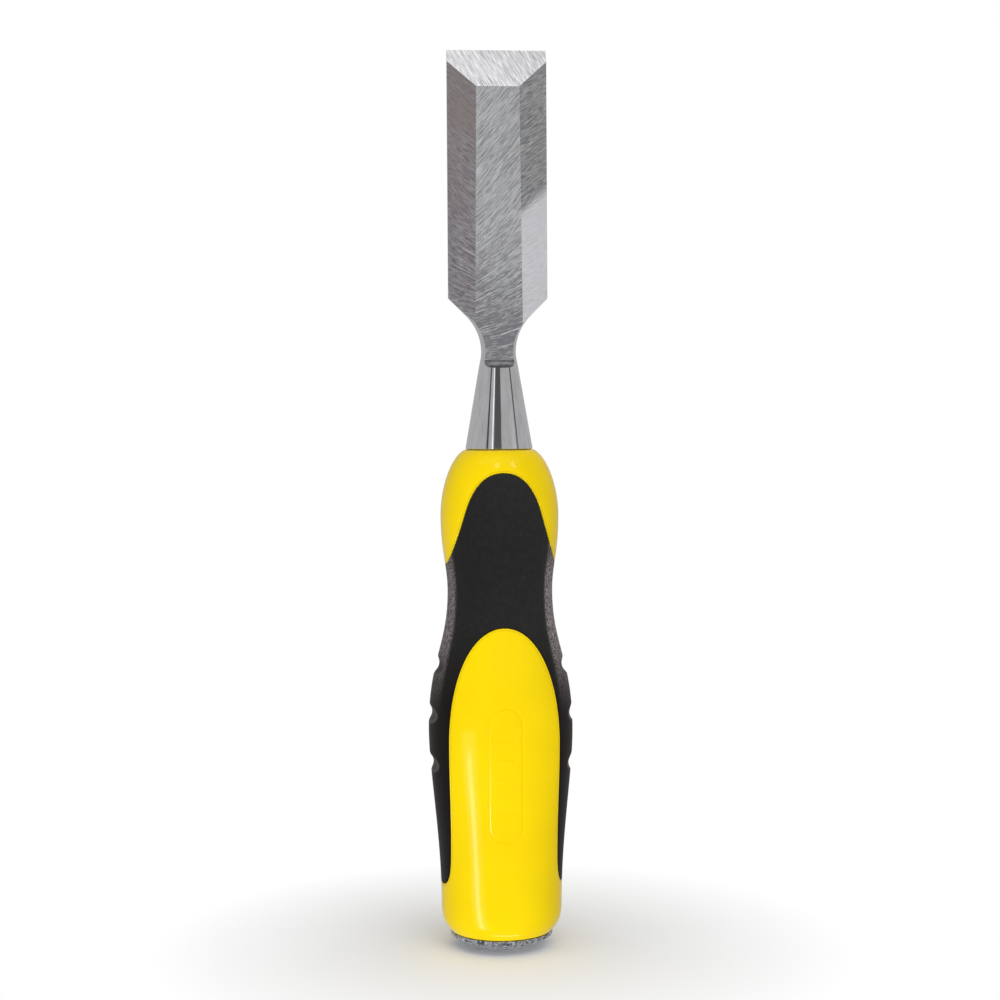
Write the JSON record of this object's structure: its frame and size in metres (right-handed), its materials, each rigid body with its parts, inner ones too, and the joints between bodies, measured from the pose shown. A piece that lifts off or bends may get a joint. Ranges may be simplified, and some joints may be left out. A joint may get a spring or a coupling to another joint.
{
  "type": "bench chisel",
  "caption": "Bevel-edge bench chisel for woodworking: wide ground steel blade, waisted two-material moulded handle and a domed steel strike cap.",
  "frame": {"origin": "centre of the flat strike face on the cap, the tool's lowest point as it stands upright", "axes": "+Z along the tool from the strike cap to the cutting edge, +X across the blade's width, +Y out of the blade's flat back; the bevelled front faces -Y"},
  "size_m": [0.037, 0.0314, 0.2298],
  "materials": {
    "blade_steel": "ground faces with fine diagonal grinding marks, bright polished cone",
    "yellow_plastic": "smooth semi-gloss moulded yellow polypropylene",
    "black_rubber": "satin moulded soft-touch black, fine texture at the sides",
    "cap_steel": "matt grey domed steel, lightly scuffed"
  },
  "bodies": {
    "root": {"blade": "blade_steel", "handle_core": "yellow_plastic", "soft_grip": "black_rubber", "strike_cap": "cap_steel"}
  },
  "joints": []
}
